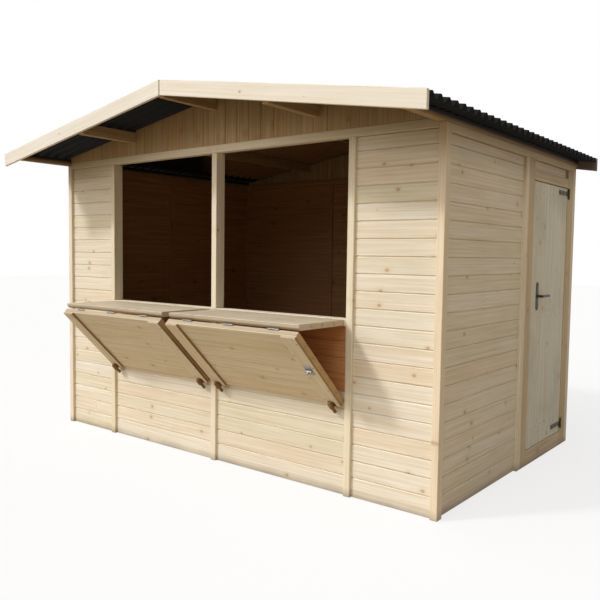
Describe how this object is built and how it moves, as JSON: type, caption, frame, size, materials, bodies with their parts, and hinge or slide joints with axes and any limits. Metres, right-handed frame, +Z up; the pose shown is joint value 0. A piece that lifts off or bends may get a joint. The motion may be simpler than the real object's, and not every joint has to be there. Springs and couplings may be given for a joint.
{
  "type": "market hut",
  "caption": "Timber market hut with a low gabled roof of corrugated sheets, serving hatches with fold-down counters and a hinged side door.",
  "frame": {"origin": "on the ground under the middle of the roof", "axes": "+X to the hut's right seen from the front, +Y to the back, +Z up; the serving front faces -Y"},
  "size_m": [3.236, 2.377, 2.1859],
  "materials": {
    "pine_frame": "planed softwood, untreated",
    "pine_boards": "planed tongue and groove softwood, untreated",
    "pine_fascia": "planed softwood, untreated",
    "stained_fascia": "planed softwood, stained dark grey",
    "pine_flaps": "planed softwood, untreated",
    "door_timber": "planed softwood, untreated",
    "bitumen_sheet": "matt black corrugated bitumen sheet",
    "black_iron": "black painted steel",
    "zinc_fitting": "zinc plated steel"
  },
  "bodies": {
    "hut": {"floor_bearers": "pine_frame", "floor_deck": "pine_boards", "front_corner_posts": "pine_frame", "back_corner_posts": "pine_frame", "hatch_posts": "pine_frame", "front_top_rail": "pine_frame", "front_side_panels": "pine_boards", "hatch_aprons": "pine_boards", "hatch_sills": "pine_frame", "front_gable": "pine_boards", "back_posts": "pine_frame", "back_wall_panels": "pine_boards", "back_top_rail": "pine_frame", "back_gable": "pine_boards", "left_wall_panels": "pine_boards", "left_wall_post": "pine_frame", "side_plates": "pine_frame", "right_wall_panel": "pine_boards", "right_wall_post": "pine_frame", "door_jambs": "door_timber", "door_head": "door_timber", "over_door_panel": "pine_boards", "door_threshold": "door_timber", "ridge_purlin": "pine_frame", "middle_purlins": "pine_frame", "eave_purlins": "pine_frame", "left_roof_sheet": "bitumen_sheet", "right_roof_sheet": "bitumen_sheet", "ridge_cap": "bitumen_sheet", "front_fascia_boards": "pine_fascia", "back_fascia_boards": "stained_fascia", "counter_leaves": "pine_flaps", "prop_leaves": "pine_flaps", "prop_battens": "pine_flaps", "flap_hinges": "zinc_fitting", "flap_bolts": "black_iron", "flap_latch": "zinc_fitting", "door_hinge_plates": "black_iron"},
    "door": {"door_leaf": "door_timber", "door_ledges": "door_timber", "door_straps": "black_iron", "door_handle": "black_iron"}
  },
  "joints": [
    {"name": "door_hinge", "type": "hinge", "parent": "hut", "child": "door", "pos_m": [1.508, 0.9705, 0.9], "axis": [0, 0, 1], "range_deg": [0, 110]}
  ]
}
